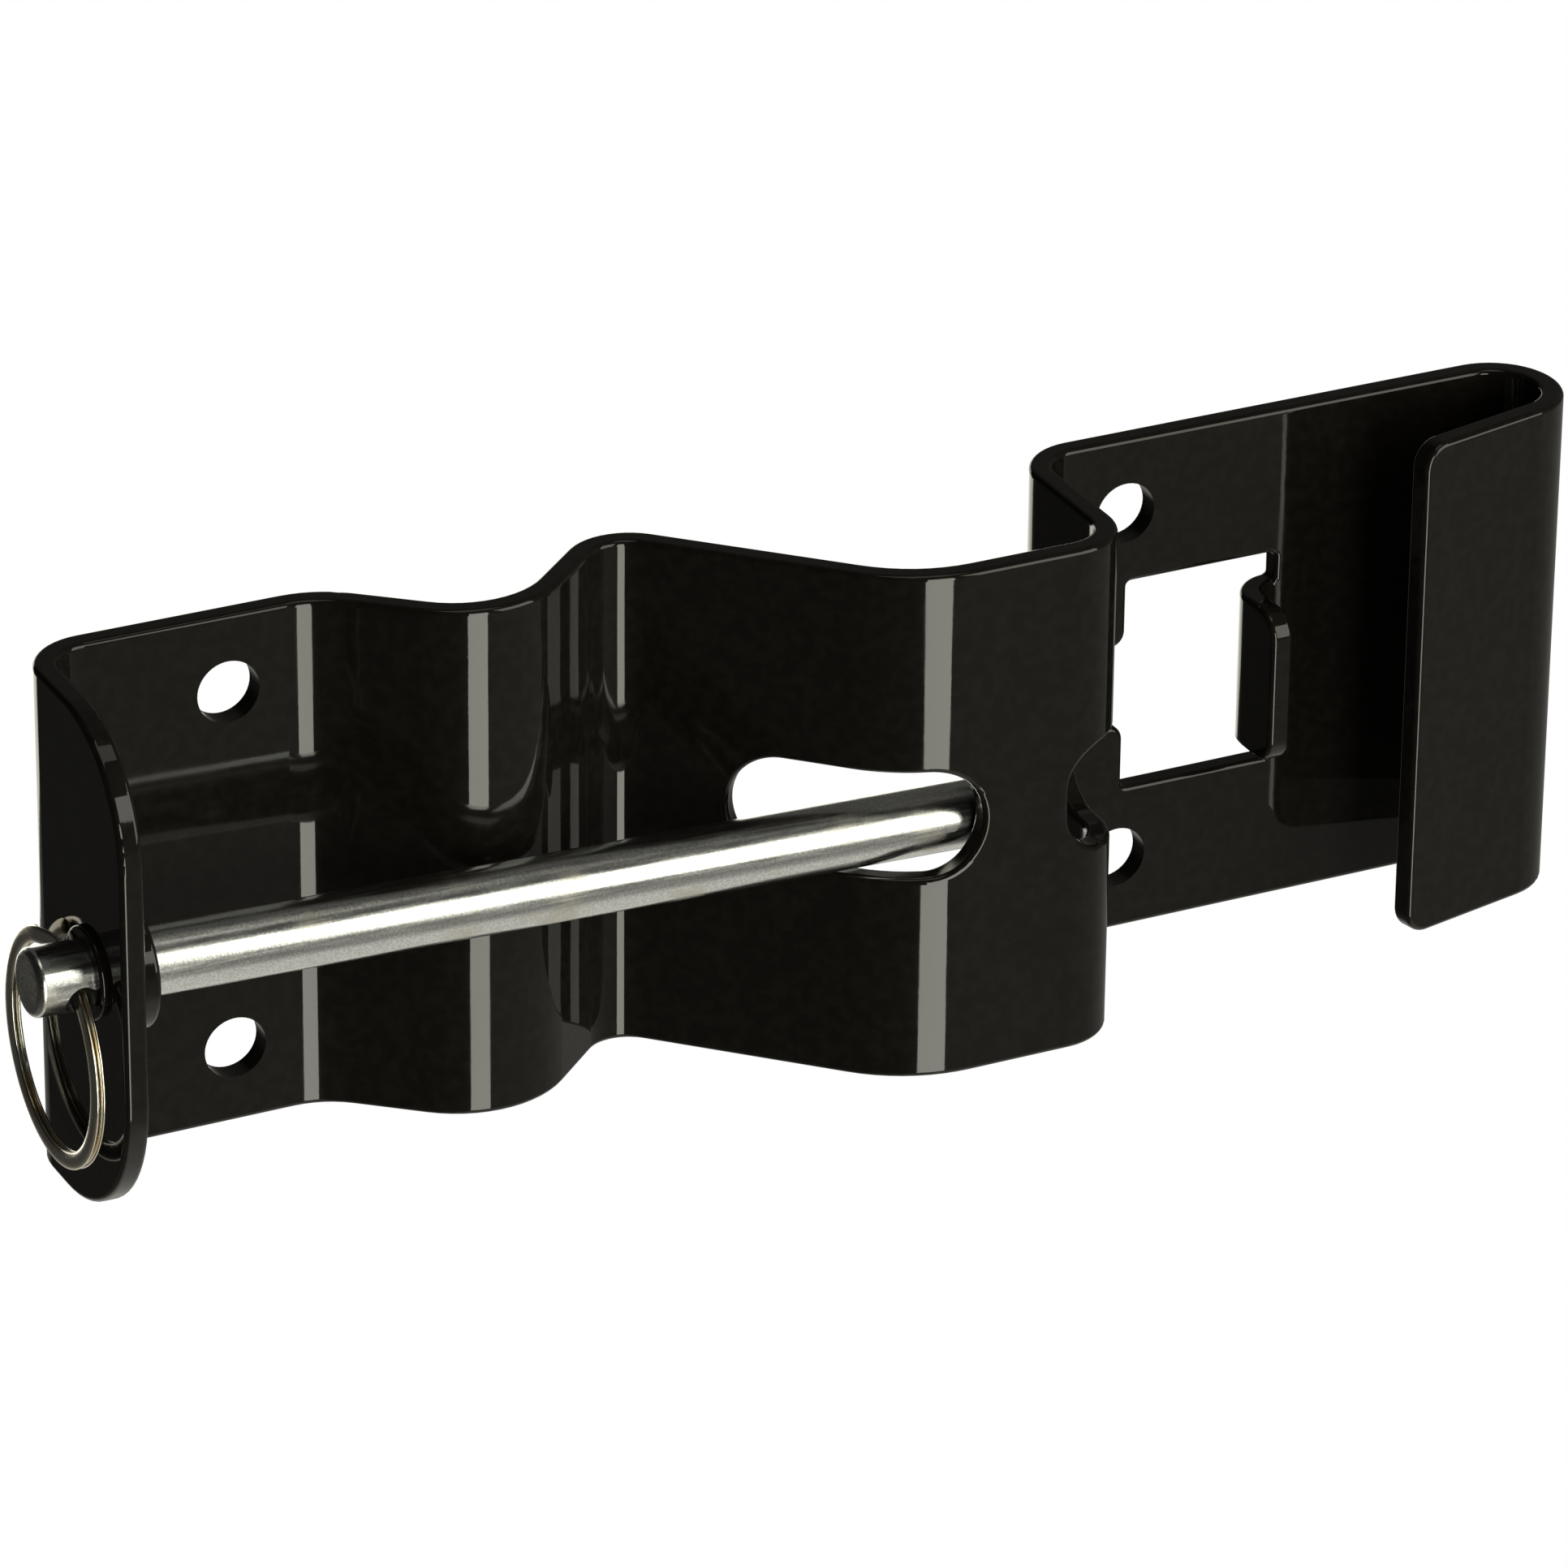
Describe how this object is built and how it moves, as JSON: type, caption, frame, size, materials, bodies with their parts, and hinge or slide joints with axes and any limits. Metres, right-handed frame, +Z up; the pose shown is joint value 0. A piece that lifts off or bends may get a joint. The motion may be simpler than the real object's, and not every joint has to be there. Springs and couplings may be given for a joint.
{
  "type": "gate latch with sliding pin",
  "caption": "Folded steel wall bracket with a pocket closed by a long sliding round pin, which runs in a flanged bush and is pulled by a split ring.",
  "frame": {"origin": "centre of the rectangle of four mounting holes, on the back plane of the plate", "axes": "+X along the plate from the pin's flange to the hook, +Z up the plate's height, the plate's front looks towards -Y"},
  "size_m": [0.2387, 0.0364, 0.076],
  "materials": {
    "black_paint": "gloss black paint over folded steel sheet",
    "black_bush": "gloss black paint",
    "zinc_plate": "bright zinc plate, finely speckled",
    "nickel_wire": "nickel plated spring wire"
  },
  "bodies": {
    "bracket": {"mounting_bracket": "black_paint", "guide_bush": "black_bush"},
    "pin": {"latch_pin": "zinc_plate"},
    "ring": {"split_ring": "nickel_wire"}
  },
  "joints": [
    {"name": "pin_slide", "type": "slide", "parent": "bracket", "child": "pin", "axis": [-0.9995, 0, 0.0304], "range_m": [0, 0.132]},
    {"name": "ring_swing", "type": "hinge", "parent": "pin", "child": "ring", "pos_m": [-0.09983, -0.0247, 0.00128], "axis": [0.0128, 0.9063, 0.4224], "range_deg": [0, 180]}
  ]
}
